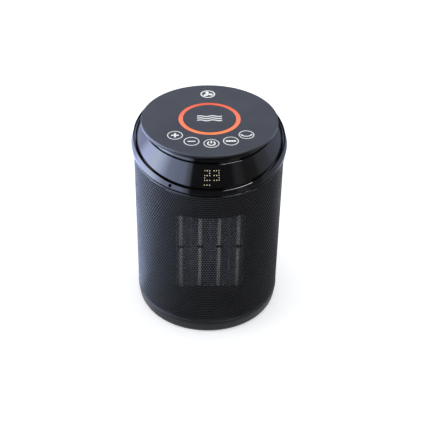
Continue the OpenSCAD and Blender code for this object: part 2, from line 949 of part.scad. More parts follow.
module ring_leds() {
    color("#f4f0e0")
        around(ring_r - ring_w / 2, [15:30:345])
            translate([0, 0, touch_board_top + 0.7]) cube([2.8, 2.8, 1.4], center = true);
}

module panel_screws() {
    color("#b9bcc2")
        around(53, [60, 180, 300])
            translate([0, 0, touch_board_top - board_t]) rotate([180, 0, 0])
                screw(1.1, 4.6, 2.2, 1.4);
}

module buzzer() {
    color("#1b1c1f")
        translate([0, 22, 0])
            tube(6.5, 1, touch_board_top - board_t - 3.5, touch_board_top - board_t);
}

module display_board() {
    color("#1f5a3a")
        on_slope(dot_top_z - 3 * dot_row)
            translate([-17, -10, -7.2]) cube([34, 20, 1.6]);
}

module display_dots() {
    color("#fff0c8")
        each_dot() translate([0, 0, -4.4]) cylinder(r = dot_r, h = 4.45, $fn = 16);
}

// ---------- printed symbols ----------

module ring_2d(r_out, r_in) {
    difference() {
        circle(r = r_out, $fn = 48);
        circle(r = r_in, $fn = 48);
    }
}

module bar_2d(w, h) {
    square([w, h], center = true);
}

module plus_2d() {
    bar_2d(symbol_w, 2);
    bar_2d(2, symbol_w);
}

module minus_2d() {
    bar_2d(symbol_w, 1.6);
}

module power_2d() {
    difference() {
        ring_2d(4.5, 2.9);
        translate([0, 4]) bar_2d(4, 4);
    }
    translate([0, 2.6]) bar_2d(1.6, 4.8);
}

// Four heat levels in a row
module level_dots_2d() {
    for (i = [-1.5:1:1.5]) translate([i * 2.5, 0]) circle(r = 1.6, $fn = 24);
}

// A shallow arc with an arrow head at each end
module swing_2d() {
    translate([0, 3])
        difference() {
            ring_2d(6.7, 5.4);
            translate([0, 4.4]) bar_2d(16, 14);
        }
    for (x = [-1, 1])
        translate([x * 5, 0.2])
            polygon([[-x * 1.8, -1.2], [x * 0.9, 1.4], [x * 0.6, -1.9]]);
}

// The symbols stay upright along the arc of keys
module on_key(i) {
    a = key_angles[i];
    translate([key_arc_r * sin(a), -key_arc_r * cos(a), total_h])
        linear_extrude(height = print_t) children();
}

module key_legends() {
    color("#e8e8e6") {
        for (i = [0:4]) on_key(i) ring_2d(key_d / 2, key_d / 2 - 0.9);
        on_key(0) plus_2d();
        on_key(1) minus_2d();
        on_key(2) power_2d();
        on_key(3) level_dots_2d();
        on_key(4) swing_2d();
    }
}

// A level stroke of width w that waves twice along its length
module wave_2d(length, height, w) {
    steps = 32;
    side = [for (i = [0:steps]) [length * (i / steps - 0.5), height / 2 * sin(720 * i / steps)]];
    polygon(concat([for (p = side) p - [0, w / 2]], [for (i = [steps:-1:0]) side[i] + [0, w / 2]]));
}

// A three-bladed fan
module fan_2d(r) {
    circle(r = 1.4, $fn = 24);
    for (a = [90, 210, 330])
        rotate([0, 0, a])
            translate([r / 2 + 0.3, 0.8]) scale([1, 0.7]) circle(r = r / 2, $fn = 24);
}

// A fan in a ring behind, and three waves of warm air in the middle
module print_marks() {
    color("#e8e8e6")
        translate([0, 0, total_h]) linear_extrude(height = print_t) {
            translate([0, 51]) {
                ring_2d(badge_r, badge_r - 1.5);
                fan_2d(badge_r - 2.4);
            }
            for (y = [-1:1]) translate([0, y * 4.2]) wave_2d(26, 1.8, 1.8);
        }
}

// ---------- wiring in the body ----------

module body_wiring() {
    top = board_z + board_t + 0.3;
    color("#c8342c") {
        wire([[0, 0, 15.5], [0, 0, board_z - 0.1]], 1.2);
        for (x = [-1, 1])
            wire([[x * 52, -5, top], [x * 55, -5, 172], [x * 34, -53, 178],
                  [x * 34, -53, core_z + frame_h / 2]], 1.1);
        wire([[0, 38, top], [2, 36, 90], [8, spider_y + spider_t + fan_motor_len + 1, 100]], 0.9);
        wire([[-50, 30, top], [-52, 28, 190], [-34, 20, touch_board_top - board_t - 0.9]], 1.1);
    }
}

base_shell();
base_plate();
rubber_feet();
base_screws();
cord_gland();
supply_lead();
swing_gear();
gear_screws();
thrust_washer();
tip_switch();
tip_plunger();
ball_cage();
bearing_balls();
turntable();
hub_retainer();
hub_screws();
chassis_screws();
swing_motor();
motor_screws();
drive_pinion();
power_board();
board_screws();
relays();
transformer();
capacitor();
terminal_block();
front_housing();
rear_housing();
grille();
ptc_frame();
ptc_tubes();
ptc_stones();
ptc_plates();
ptc_fins();
ptc_terminals();
thermostat();
thermal_fuse();
air_duct();
fan_shroud();
shroud_screws();
fan_motor();
impeller();
motor_shaft();
rim_ring();
collar();
head_screws();
top_panel();
light_ring();
centre_cap();
touch_board();
touch_springs();
ring_leds();
panel_screws();
buzzer();
display_board();
display_dots();
key_legends();
print_marks();
body_wiring();
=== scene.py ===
"""Looks for the ceramic space heater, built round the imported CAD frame.

Metres, +Z up, the front faces -Y. Azimuth runs from the front towards +X.
"""
import json
import math

import bmesh
import bpy
from mathutils import Matrix, Vector


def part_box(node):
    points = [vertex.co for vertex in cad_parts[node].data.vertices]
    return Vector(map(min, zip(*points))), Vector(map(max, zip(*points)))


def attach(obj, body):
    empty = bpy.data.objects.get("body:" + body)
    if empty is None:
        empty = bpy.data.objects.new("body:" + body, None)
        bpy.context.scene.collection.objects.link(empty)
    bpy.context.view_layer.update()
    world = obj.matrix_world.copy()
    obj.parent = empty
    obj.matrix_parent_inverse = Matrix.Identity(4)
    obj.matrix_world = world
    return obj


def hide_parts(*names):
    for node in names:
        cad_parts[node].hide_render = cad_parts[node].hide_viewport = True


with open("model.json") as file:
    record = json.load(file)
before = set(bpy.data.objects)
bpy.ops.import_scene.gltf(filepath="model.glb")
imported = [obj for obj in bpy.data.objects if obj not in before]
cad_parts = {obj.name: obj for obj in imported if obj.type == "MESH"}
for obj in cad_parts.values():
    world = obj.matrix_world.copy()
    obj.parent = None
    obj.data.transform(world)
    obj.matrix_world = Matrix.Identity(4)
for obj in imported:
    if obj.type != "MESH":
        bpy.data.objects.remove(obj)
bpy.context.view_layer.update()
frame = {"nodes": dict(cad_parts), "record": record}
nodes = frame["nodes"]

MM = 0.001


# ---------- sizes, from the frame ----------

def tan_deg(angle):
    return math.tan(math.radians(angle))


# Tilts of the planes that cut the sleeve, the rim and the collar, low in front
SLEEVE_TILT = 9.1
RIM_TILT = 11.0
COLLAR_TOP_TILT = 1.7

sleeve_lo, sleeve_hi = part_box("grille")
rim_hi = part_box("rim_ring")[1]
collar_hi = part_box("collar")[1]
panel_lo, panel_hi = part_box("top_panel")
cap_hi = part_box("centre_cap")[1]
tubes_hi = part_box("ptc_tubes")[1]
base_lo, base_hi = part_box("base_shell")
gland_lo, gland_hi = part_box("cord_gland")

body_r = sleeve_hi.x
sleeve_bottom = sleeve_lo.z
sleeve_z = sleeve_hi.z - body_r * tan_deg(SLEEVE_TILT)
rim_r = rim_hi.x
rim_z = rim_hi.z - rim_r * tan_deg(RIM_TILT)
collar_r = collar_hi.x
panel_r = panel_hi.x
total_h = panel_hi.z
panel_t = 4.4 * MM
panel_bottom = total_h - panel_t
cap_r = cap_hi.x
ring_r = cap_r + 4.55 * MM
base_h = base_hi.z
collar_z = rim_z - 0.8 * MM
collar_top_r = 65 * MM
collar_back = 3 * MM
collar_top_z = collar_hi.z - (collar_top_r + collar_back) * tan_deg(COLLAR_TOP_TILT)
rim_top_r = rim_r - 2.2 * MM
groove_depth = 6 * MM
floor_z = rim_z - groove_depth


def height(z0, tilt, r, azimuth):
    """Height of a plane that tilts down to the front, at a radius and azimuth."""
    return z0 - r * math.cos(azimuth) * tan_deg(tilt)


def around(r, azimuth, z):
    """The point at that radius, azimuth and height."""
    return (r * math.sin(azimuth), -r * math.cos(azimuth), z)


# ---------- mesh helpers ----------

SHARP_ANGLE = 35.0


def mesh_object(name, verts, faces, sharp=SHARP_ANGLE):
    """A smooth-shaded object. Edges sharper than that many degrees stay crisp, unless it is 0."""
    mesh = bpy.data.meshes.new(name)
    mesh.from_pydata([tuple(v) for v in verts], [], [tuple(f) for f in faces])
    mesh.validate()
    mesh.shade_smooth()
    if sharp:
        mesh.set_sharp_from_angle(angle=math.radians(sharp))
    mesh.update()
    obj = bpy.data.objects.new(name, mesh)
    bpy.context.scene.collection.objects.link(obj)
    return obj


def rounded(points, steps=5):
    """A closed outline of (x, y, fillet) corners, each turned with an arc of that radius."""
    out = []
    count = len(points)
    for i, (x, y, fillet) in enumerate(points):
        here = Vector((x, y))
        before = Vector(points[i - 1][:2]) - here
        after = Vector(points[(i + 1) % count][:2]) - here
        if fillet <= 0:
            out.append((x, y))
            continue
        half = before.angle(after) / 2
        reach = min(fillet / math.tan(half), 0.48 * before.length, 0.48 * after.length)
        radius = reach * math.tan(half)
        start = here + before.normalized() * reach
        end = here + after.normalized() * reach
        inwards = (before.normalized() + after.normalized()).normalized()
        centre = here + inwards * (radius / math.sin(half))
        arm = start - centre
        turn = arm.angle_signed(end - centre)
        for k in range(steps + 1):
            t = -turn * k / steps
            c, s = math.cos(t), math.sin(t)
            out.append((centre.x + arm.x * c - arm.y * s, centre.y + arm.x * s + arm.y * c))
    return out


def turned(name, section, azimuths, full_turn=True):
    """A closed outline swept round the axis. section(azimuth) gives its (radius, height) points.

    A sweep that isn't a full turn gets a flat face at each end.
    """
    verts = [around(r, a, z) for a in azimuths for r, z in section(a)]
    n = len(section(azimuths[0]))
    turns = len(azimuths)
    faces = []
    for i in range(turns if full_turn else turns - 1):
        j = (i + 1) % turns
        for k in range(n):
            m = (k + 1) % n
            faces.append((i * n + k, j * n + k, j * n + m, i * n + m))
    if not full_turn:
        last = (turns - 1) * n
        faces += [tuple(range(n)), tuple(last + k for k in reversed(range(n)))]
    obj = mesh_object(name, verts, faces)
    outward(obj)
    return obj


def outward(obj):
    """Turns all faces of a closed piece to the outside."""
    bm = bmesh.new()
    bm.from_mesh(obj.data)
    bmesh.ops.recalc_face_normals(bm, faces=bm.faces)
    bm.to_mesh(obj.data)
    bm.free()
    obj.data.set_sharp_from_angle(angle=math.radians(SHARP_ANGLE))


def even_azimuths(count):
    return [2 * math.pi * i / count for i in range(count)]


# ---------- perforated sleeve ----------

HOLES_ROUND = 176
ROW_PITCH = 2.52 * MM
HOLE_R = 1.16 * MM
HOLE_SIDES = 8
SHEET_T = 0.3 * MM
EDGE_MARGIN = 1.3 * MM
PANELS = 4


def sleeve_panel(name, first, last):
    """The cells first to last of every row: six-sided cells of sheet, each with a round hole."""
    pitch = 2 * math.pi * body_r / HOLES_ROUND
    point = (pitch * pitch / 4 + ROW_PITCH ** 2) / (2 * ROW_PITCH)
    shoulder = ROW_PITCH - point
    half_step = math.pi / HOLES_ROUND
    first_row = sleeve_bottom + EDGE_MARGIN + HOLE_R
    rows = int((sleeve_hi.z - first_row) / ROW_PITCH) + 2
    radii = (body_r, body_r - SHEET_T)
    verts = []
    index = {}

    def top_at(azimuth):
        return height(sleeve_z, SLEEVE_TILT, body_r, azimuth)

    def add(azimuth, z):
        """The outer vertex and, next to it, the inner one. Returns the outer one's number."""
        verts.extend(around(r, azimuth, z) for r in radii)
        return len(verts) - 2

    def corner_z(level, step):
        """Height of a corner between rows: level 0 is the bottom edge, level 1 is over row 0."""
        if level == 0:
            return sleeve_bottom
        row_below = level - 1
        over_hole = (step - row_below) % 2 == 0
        return first_row + row_below * ROW_PITCH + (point if over_hole else shoulder)

    def corner(level, step):
        """The vertex of a corner. Corners over the top edge slide down onto it."""
        azimuth = step * half_step
        limit = top_at(azimuth)
        while level > 0 and corner_z(level - 1, step) >= limit:
            level -= 1
        key = (level, step)
        if key not in index:
            index[key] = add(azimuth, min(corner_z(level, step), limit))
        return index[key]

    outer, walls, solid = [], [], []
    for row in range(rows):
        z = first_row + row * ROW_PITCH
        for cell in range(first, last):
            step = 2 * cell + row % 2
            azimuth = step * half_step
            if z - point > top_at(azimuth):
                continue
            low = [corner(row, step + d) for d in (-1, 0, 1)]
            high = [corner(row + 1, step + d) for d in (-1, 0, 1)]
            rim = [high[1], high[2], low[2], low[1], low[0], high[0]]
            if z + HOLE_R + EDGE_MARGIN > top_at(azimuth):
                flat = [v for i, v in enumerate(rim) if v != rim[i - 1]]
                if len(set(flat)) > 2:
                    solid.append(flat)
                continue
            hole = []
            for k in range(HOLE_SIDES):
                turn = 2 * math.pi * k / HOLE_SIDES
                hole.append(add(azimuth + HOLE_R * math.sin(turn) / body_r, z + HOLE_R * math.cos(turn)))
            a, b, c, d, e, f = rim
            outer += [(a, hole[0], hole[1], b), (b, hole[1], hole[2]), (b, hole[2], c),
                      (c, hole[2], hole[3]), (c, hole[3], hole[4], d), (d, hole[4], hole[5], e),
                      (e, hole[5], hole[6]), (e, hole[6], f), (f, hole[6], hole[7]),
                      (f, hole[7], hole[0], a)]
            for here, after in zip(hole, hole[1:] + hole[:1]):
                walls.append((here, here + 1, after + 1, after))
    skin = outer + solid
    inner = [tuple(v + 1 for v in reversed(face)) for face in skin]
    edges = dict.fromkeys((v, face[i - 1]) for face in skin for i, v in enumerate(face))
    hole_edges = {frozenset((wall[0], wall[3])) for wall in walls}
    border = [(a, a + 1, b + 1, b) for a, b in edges
              if (b, a) not in edges and frozenset((a, b)) not in hole_edges]
    return mesh_object(name, verts, skin + inner + walls + border, sharp=40)


def sleeve():
    """The sleeve as a few curved panels side by side, which keeps each mesh small."""
    panels = []
    for p in range(PANELS):
        first = HOLES_ROUND * p // PANELS
        last = HOLES_ROUND * (p + 1) // PANELS
        panels.append(sleeve_panel(f"sleeve_panel_{p + 1}", first, last))
    return panels


# The intake cloth goes round the back from this azimuth, this far inside the sleeve's outer face
FILTER_START = 86.0
FILTER_GAP = 0.95 * MM
FILTER_T = 0.25 * MM
FILTER_BOTTOM = 50 * MM
FILTER_BELOW_TOP = 4 * MM
FILTER_STEPS = 96


def intake_filter():
    """Thin dark cloth behind the sleeve's rear half, where the fan draws its air."""
    outer = body_r - FILTER_GAP
    inner = outer - FILTER_T

    def section(a):
        high = height(sleeve_z, SLEEVE_TILT, body_r, a) - FILTER_BELOW_TOP
        return [(outer, FILTER_BOTTOM), (outer, high), (inner, high), (inner, FILTER_BOTTOM)]

    sweep = 360 - 2 * FILTER_START
    azimuths = [math.radians(FILTER_START + sweep * i / FILTER_STEPS) for i in range(FILTER_STEPS + 1)]
    return turned("intake_filter", section, azimuths, full_turn=False)


# ---------- rim, collar and panel ----------

SENSOR_AZIMUTH = math.radians(-31)
SENSOR_R = 1.8 * MM
SENSOR_BELOW_TOP = 2.5 * MM
SENSOR_DEPTH = 6.4 * MM
CROWN = 1.9 * MM


def collar_foot_r(azimuth):
    """The collar's foot: round, and a little wider at the sides."""
    return collar_r + 1.2 * MM * math.sin(azimuth) ** 2


def crowned(z0, tilt, r, azimuth):
    """A head plane's height there: the plane swells a little towards the sides."""
    return height(z0, tilt, r, azimuth) + CROWN * math.sin(azimuth) ** 2


def rim_section(a):
    """Beaded foot, a band that leans inwards, and a face that falls to the collar's groove."""
    foot = height(sleeve_z, SLEEVE_TILT, body_r, a)
    top = crowned(rim_z, RIM_TILT, rim_top_r, a)
    inner_r = collar_foot_r(a) + 0.35 * MM
    floor_in_r = collar_r - 9.5 * MM
    skirt_r = rim_r - 5.4 * MM

    def groove(r):
        return height(floor_z, RIM_TILT, r, a)

    band = top - foot
    return rounded([
        (skirt_r, foot + 0.05 * MM, 0),
        (rim_r - 1.3 * MM, foot + 0.05 * MM, 0.2 * MM),
        (rim_r - 0.5 * MM, foot + 0.2 * MM, 0.4 * MM),
        (rim_r - 0.5 * MM, foot + 1.5 * MM, 0.6 * MM),
        (rim_r - 2.6 * MM, foot + 1.7 * MM, 0.15 * MM),
        (rim_r - 2.6 * MM, foot + 2.9 * MM, 0.15 * MM),
        (rim_r - 0.3 * MM, foot + 3.1 * MM, 0.5 * MM),
        (rim_r, foot + 0.5 * band, 3 * MM),
        (rim_top_r + 0.2 * MM, top - 0.4 * MM, 0.25 * MM),
        (rim_top_r - 0.2 * MM, top, 0.15 * MM),
        (inner_r, top - 0.4 * MM, 0.15 * MM),
        (inner_r, groove(inner_r), 0.4 * MM),
        (floor_in_r, groove(floor_in_r), 0),
        (floor_in_r, groove(floor_in_r) - 2 * MM, 0),
        (skirt_r - 2 * MM, groove(skirt_r) - 2 * MM, 0),
        (skirt_r - 2 * MM, foot - 6 * MM, 0),
        (skirt_r - 0.2 * MM, foot - 6 * MM, 0),
    ], 4)


COLLAR_DROP = 3.4 * MM


def collar_section(a):
    """Short upright foot in the groove, then the gloss slope up under the panel.

    The slope's top edge is a circle that sits behind the axis, so the slope is longest in front.
    There it stops short of the panel, with a recessed neck above it.
    """
    wall = 2.2 * MM
    top_circle = collar_top_r + collar_back
    top_r = math.sqrt(top_circle ** 2 - (collar_back * math.sin(a)) ** 2) - collar_back * math.cos(a)
    foot_r = collar_foot_r(a)
    low = crowned(collar_z, RIM_TILT, foot_r, a)
    high = height(collar_top_z, COLLAR_TOP_TILT, top_r, a)
    foot = height(floor_z, RIM_TILT, foot_r, a)
    drop = COLLAR_DROP * max(0.0, math.cos(a))
    top_r += drop * (foot_r - top_r) / (high - low)
    top = high - drop
    neck_r = top_r - 0.8 * MM - 0.5 * drop
    inner_r = 60.3 * MM
    return rounded([
        (foot_r, foot, 0),
        (foot_r, low, 0.9 * MM),
        (top_r, top, 1.3 * MM),
        (neck_r, top - 0.2 * MM, 0.2 * MM),
        (neck_r - 0.3 * MM, high, 0.1 * MM),
        (inner_r, high - 0.1 * MM, 0.2 * MM),
        (inner_r, top - wall, 0.2 * MM),
        (top_r - wall, top - wall, 0.5 * MM),
        (foot_r - wall, low - wall, 0.5 * MM),
        (foot_r - wall, foot, 0),
    ], 5)


def panel_section(_azimuth):
    """Flat disc with softly broken edges, and the spigot below it."""
    inner = ring_r + 0.12 * MM
    spigot_r = 60 * MM
    spigot_in = 57.5 * MM
    spigot_bottom = panel_lo.z
    return rounded([
        (inner, total_h, 0.25 * MM),
        (panel_r, total_h, 1.1 * MM),
        (panel_r, panel_bottom, 0.9 * MM),
        (spigot_r, panel_bottom, 0.3 * MM),
        (spigot_r, spigot_bottom, 0.3 * MM),
        (spigot_in, spigot_bottom, 0.3 * MM),
        (spigot_in, panel_bottom, 0),
        (inner, panel_bottom, 0),
    ], 6)


def light_ring_section(_azimuth):
    """Diffuser that fills the gap between disc and cap, with a flange on both sides below them."""
    flange = 2.8 * MM
    return rounded([
        (cap_r + 0.1 * MM, total_h - 0.1 * MM, 0.25 * MM),
        (ring_r, total_h - 0.1 * MM, 0.25 * MM),
        (ring_r, panel_bottom, 0),
        (ring_r + flange, panel_bottom, 0),
        (ring_r + flange, panel_bottom - 1.2 * MM, 0),
        (cap_r - flange, panel_bottom - 1.2 * MM, 0),
        (cap_r - flange, panel_bottom, 0),
        (cap_r + 0.1 * MM, panel_bottom, 0),
    ], 4)


def base_section(_azimuth):
    """The base ring with its deck: a soft foot, a wall that leans out and a thin top lip."""
    inner_r = body_r - 2.5 * MM
    deck_top = base_h - 4.5 * MM
    deck_bottom = base_h - 6.5 * MM
    hub_r = 12.08 * MM
    return rounded([
        (body_r - 5.8 * MM, base_lo.z - 0.4 * MM, 0.2 * MM),
        (body_r - 2.6 * MM, base_lo.z - 0.4 * MM, 0.9 * MM),
        (body_r - 1.2 * MM, base_lo.z + 2.6 * MM, 3 * MM),
        (body_r, base_h - 4 * MM, 5 * MM),
        (body_r + 0.3 * MM, base_h - 0.5 * MM, 0.3 * MM),
        (body_r - 0.2 * MM, base_h, 0.3 * MM),
        (inner_r, base_h, 0.2 * MM),
        (inner_r, deck_top, 0.3 * MM),
        (hub_r, deck_top, 0.2 * MM),
        (hub_r, deck_bottom, 0.2 * MM),
        (body_r - 4.4 * MM, deck_bottom, 0.3 * MM),
        (body_r - 5.8 * MM, base_lo.z + 2.3 * MM, 0.2 * MM),
    ], 5)


GLAND_HOLE_R = 4.4 * MM


def drill(obj, centre, axis, radius, depth):
    """Cuts a round hole into a piece. centre is the middle of the hole's depth."""
    bm = bmesh.new()
    turn = Vector((0, 0, 1)).rotation_difference(Vector(axis)).to_matrix().to_4x4()
    bmesh.ops.create_cone(bm, cap_ends=True, segments=48, radius1=radius, radius2=radius, depth=depth,
                          matrix=Matrix.Translation(centre) @ turn)
    mesh = bpy.data.meshes.new("drill")
    bm.to_mesh(mesh)
    bm.free()
    cutter = bpy.data.objects.new("drill", mesh)
    bpy.context.scene.collection.objects.link(cutter)
    cut = obj.modifiers.new("hole", "BOOLEAN")
    cut.object = cutter
    cut.solver = "EXACT"
    bpy.context.view_layer.update()
    done = obj.evaluated_get(bpy.context.evaluated_depsgraph_get())
    new_mesh = bpy.data.meshes.new_from_object(done)
    obj.modifiers.clear()
    obj.data = new_mesh
    bpy.data.objects.remove(cutter)
    obj.data.set_sharp_from_angle(angle=math.radians(SHARP_ANGLE))


# ---------- materials ----------

def new_material(name):
    """An empty material, with its node tree, its shader and the object coordinates."""
    mat = bpy.data.materials.new(name)
    mat.use_nodes = True
    tree = mat.node_tree
    tree.nodes.clear()
    out = tree.nodes.new("ShaderNodeOutputMaterial")
    shader = tree.nodes.new("ShaderNodeBsdfPrincipled")
    tree.links.new(shader.outputs["BSDF"], out.inputs["Surface"])
    coords = tree.nodes.new("ShaderNodeTexCoord")
    return mat, tree, shader, coords.outputs["Object"]


def noise(tree, coords, scale, detail=4.0, rough=0.55):
    node = tree.nodes.new("ShaderNodeTexNoise")
    node.inputs["Scale"].default_value = scale
    node.inputs["Detail"].default_value = detail
    node.inputs["Roughness"].default_value = rough
    tree.links.new(coords, node.inputs["Vector"])
    return node.outputs["Fac"]


def ramp(tree, fac, low, high, start=0.3, end=0.7):
    """A colour that goes from low to high as fac goes from start to end."""
    node = tree.nodes.new("ShaderNodeValToRGB")
    node.color_ramp.elements[0].position = start
    node.color_ramp.elements[1].position = end
    node.color_ramp.elements[0].color = (*low, 1)
    node.color_ramp.elements[1].color = (*high, 1)
    tree.links.new(fac, node.inputs["Fac"])
    return node.outputs["Color"]


def span(tree, fac, low, high, start=0.3, end=0.7):
    """A number that goes from low to high as fac goes from start to end."""
    node = tree.nodes.new("ShaderNodeMapRange")
    node.inputs["From Min"].default_value = start
    node.inputs["From Max"].default_value = end
    node.inputs["To Min"].default_value = low
    node.inputs["To Max"].default_value = high
    tree.links.new(fac, node.inputs["Value"])
    return node.outputs["Result"]


def bump(tree, fac, strength, distance):
    node = tree.nodes.new("ShaderNodeBump")
    node.inputs["Strength"].default_value = strength
    node.inputs["Distance"].default_value = distance
    tree.links.new(fac, node.inputs["Height"])
    return node.outputs["Normal"]


def maths(tree, operation, first, second):
    """A maths node on a socket and a second socket or a plain number."""
    node = tree.nodes.new("ShaderNodeMath")
    node.operation = operation
    tree.links.new(first, node.inputs[0])
    if isinstance(second, bpy.types.NodeSocket):
        tree.links.new(second, node.inputs[1])
    else:
        node.inputs[1].default_value = second
    return node.outputs["Value"]


def axes(tree, coords):
    """The x, y and z of a point, each as a socket."""
    node = tree.nodes.new("ShaderNodeSeparateXYZ")
    tree.links.new(coords, node.inputs["Vector"])
    return node.outputs["X"], node.outputs["Y"], node.outputs["Z"]


def scaled(color, factor):
    return tuple(min(1.0, c * factor) for c in color)


def moulded(name, color, rough, grain=2500.0, grain_depth=0.00002, spread=0.18, specular=0.5,
            rough_spread=0.08):
    """Moulded or coated surface: slow colour drift, fine grain, and roughness that varies."""
    mat, tree, shader, coords = new_material(name)
    slow = noise(tree, coords, 45, 5)
    fine = noise(tree, coords, grain, 3)
    tree.links.new(ramp(tree, slow, scaled(color, 1 - spread), scaled(color, 1 + spread)),
                   shader.inputs["Base Color"])
    tree.links.new(span(tree, slow, rough - rough_spread, rough + rough_spread),
                   shader.inputs["Roughness"])
    tree.links.new(bump(tree, fine, 0.6, grain_depth), shader.inputs["Normal"])
    shader.inputs["Specular IOR Level"].default_value = specular
    return mat


def gloss_black(name):
    """Polished black moulding with a faint orange peel and a few hairline rubs."""
    mat, tree, shader, coords = new_material(name)
    slow = noise(tree, coords, 30, 4)
    peel = noise(tree, coords, 260, 2, 0.4)
    rubs = noise(tree, coords, 900, 6, 0.7)
    tree.links.new(ramp(tree, slow, (0.0022, 0.0023, 0.0027), (0.0038, 0.0039, 0.0045)),
                   shader.inputs["Base Color"])
    tree.links.new(span(tree, rubs, 0.07, 0.13, 0.55, 0.8), shader.inputs["Roughness"])
    tree.links.new(bump(tree, peel, 0.25, 0.00002), shader.inputs["Normal"])
    shader.inputs["Specular IOR Level"].default_value = 0.5
    return mat


def slate_panel(name):
    """Soft-touch slate, with painted shade on the disc's side below its rounded edge, most of all in
    front, and the top painted lighter towards the back.
    """
    mat, tree, shader, coords = new_material(name)
    slow = noise(tree, coords, 45, 5)
    fine = noise(tree, coords, 3200, 3)
    _, y, z = axes(tree, coords)
    # Painted shade: below the rounded edge, and most of all in front, the side is mixed to a near-black
    # colour (B of the mix below).
    below = span(tree, z, 1.0, 0.0, total_h - 2.4 * MM, total_h - 0.8 * MM)
    painted_shade_front_mask = span(tree, y, 1.0, 0.0, -0.85 * panel_r, -0.45 * panel_r)
    # Painted light: the top is painted lighter from front to back, added on top of the random tone drift.
    front_to_back = span(tree, y, 0.0, 0.7, -panel_r, panel_r)
    shade = maths(tree, "ADD", span(tree, slow, 0.0, 0.3), front_to_back)
    top = ramp(tree, shade, (0.048, 0.052, 0.063), (0.074, 0.079, 0.096), 0.0, 1.0)
    mix = tree.nodes.new("ShaderNodeMix")
    mix.data_type = "RGBA"
    tree.links.new(maths(tree, "MULTIPLY", below, painted_shade_front_mask), mix.inputs["Factor"])
    tree.links.new(top, mix.inputs["A"])
    mix.inputs["B"].default_value = (0.004, 0.0042, 0.005, 1)
    tree.links.new(mix.outputs["Result"], shader.inputs["Base Color"])
    tree.links.new(span(tree, slow, 0.42, 0.48), shader.inputs["Roughness"])
    tree.links.new(bump(tree, fine, 0.6, 0.000012), shader.inputs["Normal"])
    shader.inputs["Specular IOR Level"].default_value = 0.28
    return mat


def rolled_metal(name, color, rough, scale=(60, 60, 4)):
    """Bright metal with fine marks, which run along one direction where the scale is uneven."""
    mat, tree, shader, coords = new_material(name)
    stretch = tree.nodes.new("ShaderNodeMapping")
    stretch.inputs["Scale"].default_value = scale
    tree.links.new(coords, stretch.inputs["Vector"])
    marks = noise(tree, stretch.outputs["Vector"], 20, 5)
    slow = noise(tree, coords, 60, 3)
    tree.links.new(ramp(tree, slow, scaled(color, 0.85), scaled(color, 1.1)), shader.inputs["Base Color"])
    tree.links.new(span(tree, marks, rough - 0.08, rough + 0.1), shader.inputs["Roughness"])
    tree.links.new(bump(tree, marks, 0.3, 0.00004), shader.inputs["Normal"])
    shader.inputs["Metallic"].default_value = 1.0
    return mat


# The element's four tubes: their width, and how far left of its middle the painted highlight on a tube
# sits
TUBE_COUNT = 4
TUBE_W = 5 * MM
TUBE_HIGHLIGHT_SHIFT = 0.9 * MM
# The middle rib in front of them: its height above the floor, and half its own height
RIB_Z = 107 * MM
RIB_HALF_H = 0.4 * MM
# Half the width of the rib's pads, one in front of each tube
PAD_HALF_W = 3.2 * MM


def tube_distance(tree, x, shift):
    """How far x is from the nearest tube's centre, with the centres moved left by shift."""
    half_pitch = (tubes_hi.x - TUBE_W / 2) / (TUBE_COUNT - 1)
    moved = maths(tree, "ADD", x, shift - half_pitch)
    return maths(tree, "PINGPONG", moved, half_pitch)


def element_tubes(name):
    """A painted highlight down each tube, a little left of its middle, and painted shade over the rest of
    the tube, which is also unevenly tarnished.
    """
    mat, tree, shader, coords = new_material(name)
    x, _, _ = axes(tree, coords)
    # Painted highlight and painted shade: 1 on a stripe near each tube's middle, 0.12 over the rest of
    # the tube.
    face = span(tree, tube_distance(tree, x, TUBE_HIGHLIGHT_SHIFT), 1.0, 0.12, 1.5 * MM, 2.0 * MM)
    tarnish = span(tree, noise(tree, coords, 420, 4, 0.7), 0.45, 1.0, 0.35, 0.65)
    bright = maths(tree, "MULTIPLY", face, tarnish)
    tree.links.new(ramp(tree, bright, (0.02, 0.02, 0.02), (0.50, 0.52, 0.50), 0.0, 1.0),
                   shader.inputs["Base Color"])
    tree.links.new(span(tree, tarnish, 0.6, 0.4), shader.inputs["Roughness"])
    shader.inputs["Metallic"].default_value = 0.2
    return mat


def element_frame(name):
    """Black frame. Its thin middle rib is bare and grey between the pads that hold the tubes."""
    mat, tree, shader, coords = new_material(name)
    x, _, z = axes(tree, coords)
    above = span(tree, z, 0.0, 1.0, RIB_Z - RIB_HALF_H - 0.1 * MM, RIB_Z - RIB_HALF_H)
    below = span(tree, z, 1.0, 0.0, RIB_Z + RIB_HALF_H, RIB_Z + RIB_HALF_H + 0.1 * MM)
    beside = span(tree, tube_distance(tree, x, 0.0), 0.0, 1.0, PAD_HALF_W, PAD_HALF_W + 0.2 * MM)
    bare = maths(tree, "MULTIPLY", maths(tree, "MULTIPLY", above, below), beside)
    tree.links.new(ramp(tree, bare, (0.0018, 0.0018, 0.0020), (0.20, 0.21, 0.23), 0.0, 1.0),
                   shader.inputs["Base Color"])
    grain = noise(tree, coords, 900, 3)
    tree.links.new(span(tree, grain, 0.62, 0.78), shader.inputs["Roughness"])
    tree.links.new(bump(tree, grain, 0.5, 0.00002), shader.inputs["Normal"])
    shader.inputs["Specular IOR Level"].default_value = 0.03
    return mat


